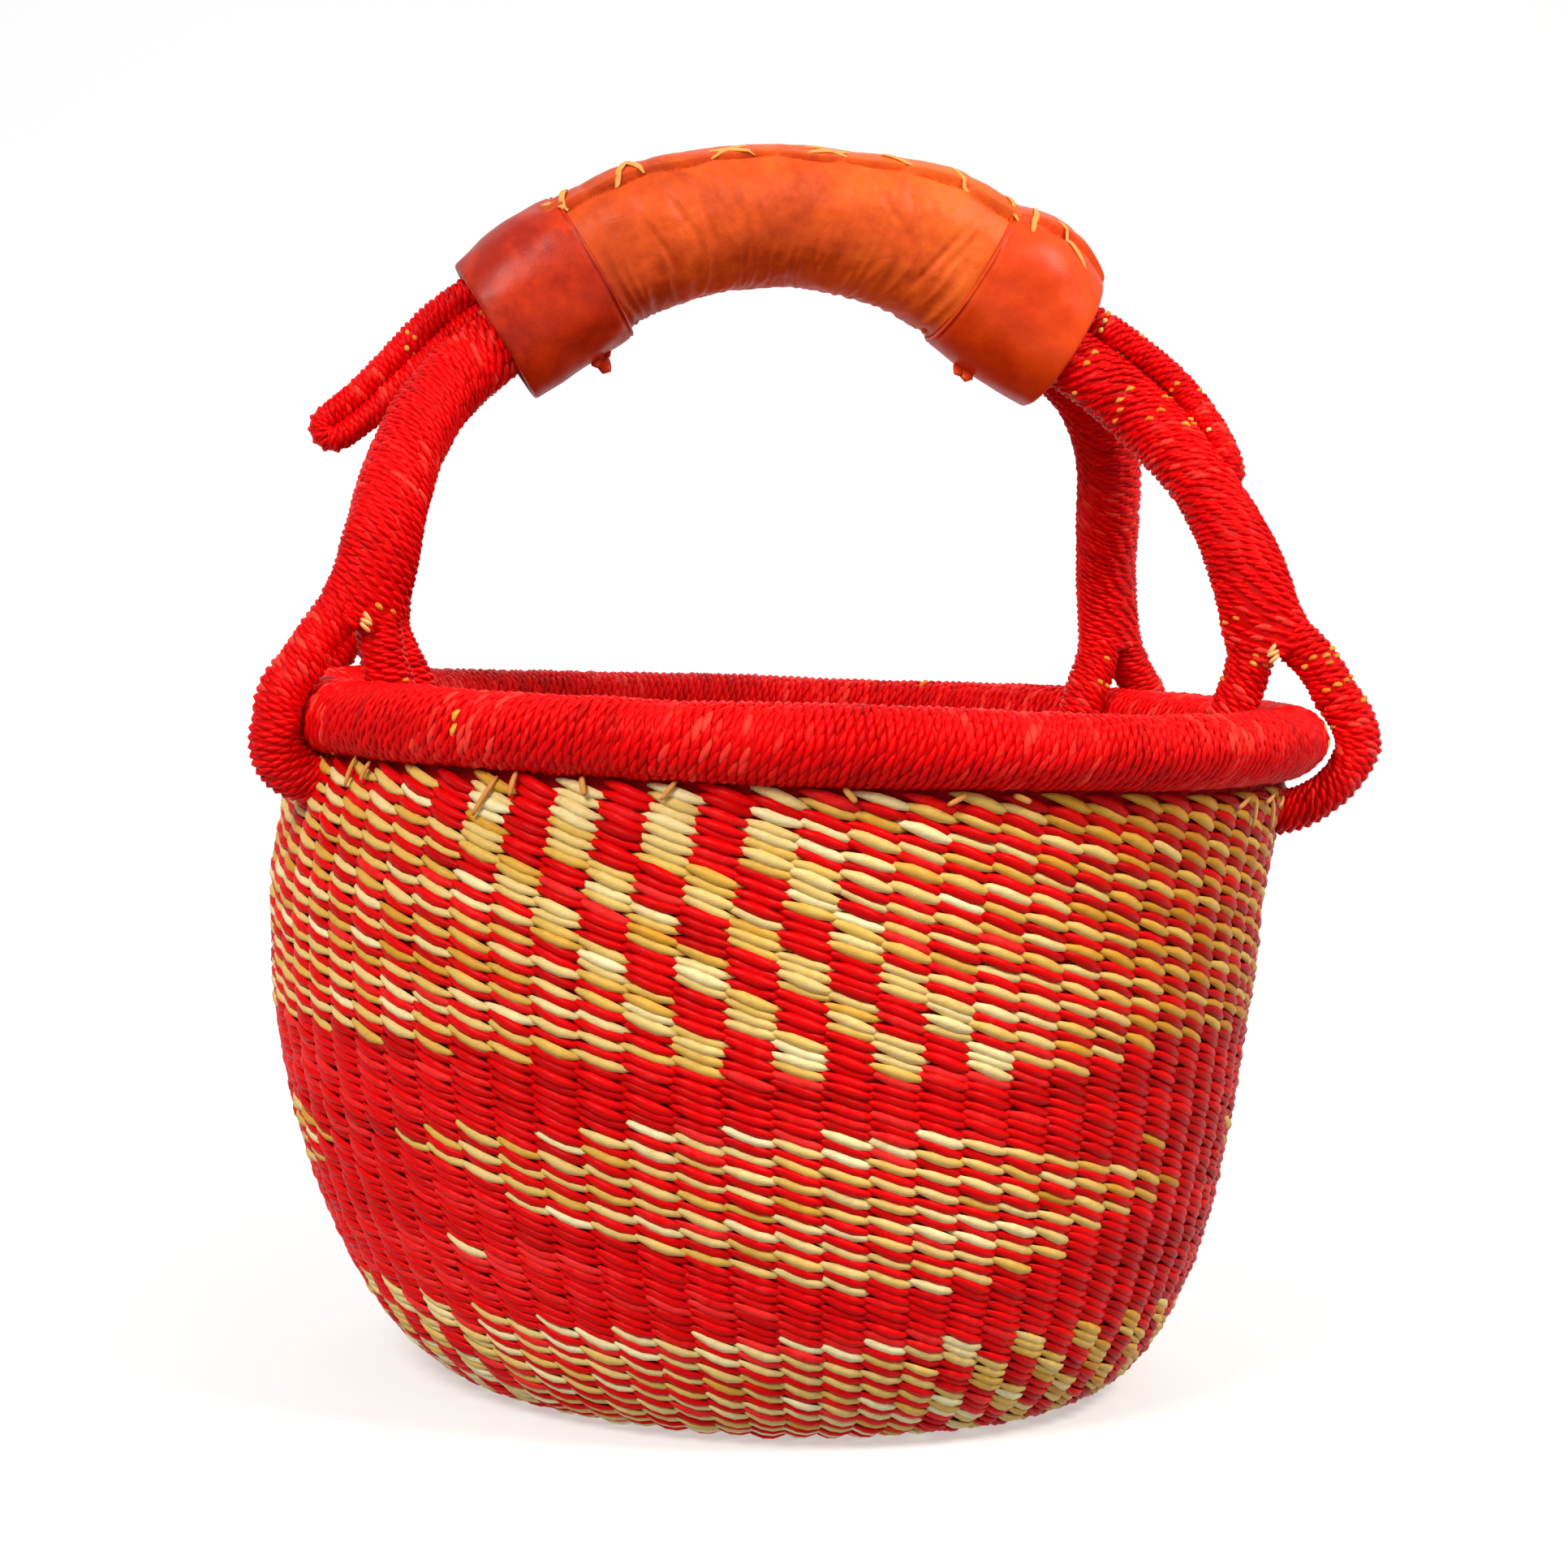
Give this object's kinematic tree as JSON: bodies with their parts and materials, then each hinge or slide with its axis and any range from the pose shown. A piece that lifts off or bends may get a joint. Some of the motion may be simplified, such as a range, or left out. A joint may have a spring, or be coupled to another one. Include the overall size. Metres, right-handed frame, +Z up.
{
  "type": "round straw market basket",
  "caption": "Round basket twined from dyed straw, with a cord-wrapped rim and a stiff arched handle on four wrapped legs with a leather grip.",
  "frame": {"origin": "centre of the base, on the surface the basket stands on", "axes": "+Z up, +X to the right along the handle's arch, -Y the front"},
  "size_m": [0.3132, 0.2984, 0.3523],
  "materials": {
    "patterned_weave": "satin",
    "red_weave": "satin",
    "plain_straw": "satin",
    "red_cord": "satin",
    "grass_bundle": "matte",
    "sleeve_leather": "satin",
    "cuff_leather": "satin"
  },
  "bodies": {
    "root": {"base_weave": "patterned_weave", "lower_pattern_band": "patterned_weave", "lower_red_band": "red_weave", "middle_stripe_band": "patterned_weave", "upper_red_band": "red_weave", "top_pattern_band": "patterned_weave", "rim_core": "grass_bundle", "rim_wrap": "red_cord", "grip_core": "grass_bundle", "grip_sleeve": "sleeve_leather", "left_cuff": "cuff_leather", "right_cuff": "cuff_leather", "seam_lacing": "plain_straw", "left_cuff_tie": "cuff_leather", "right_cuff_tie": "cuff_leather", "left_ear": "red_cord", "right_ear": "red_cord", "right_front_leg_core": "grass_bundle", "right_front_loop_wrap": "red_cord", "right_front_leg_wrap": "red_cord", "right_back_leg_core": "grass_bundle", "right_back_loop_wrap": "red_cord", "right_back_leg_wrap": "red_cord", "left_front_leg_core": "grass_bundle", "left_front_loop_wrap": "red_cord", "left_front_leg_wrap": "red_cord", "left_back_leg_core": "grass_bundle", "left_back_loop_wrap": "red_cord", "left_back_leg_wrap": "red_cord"}
  },
  "joints": []
}
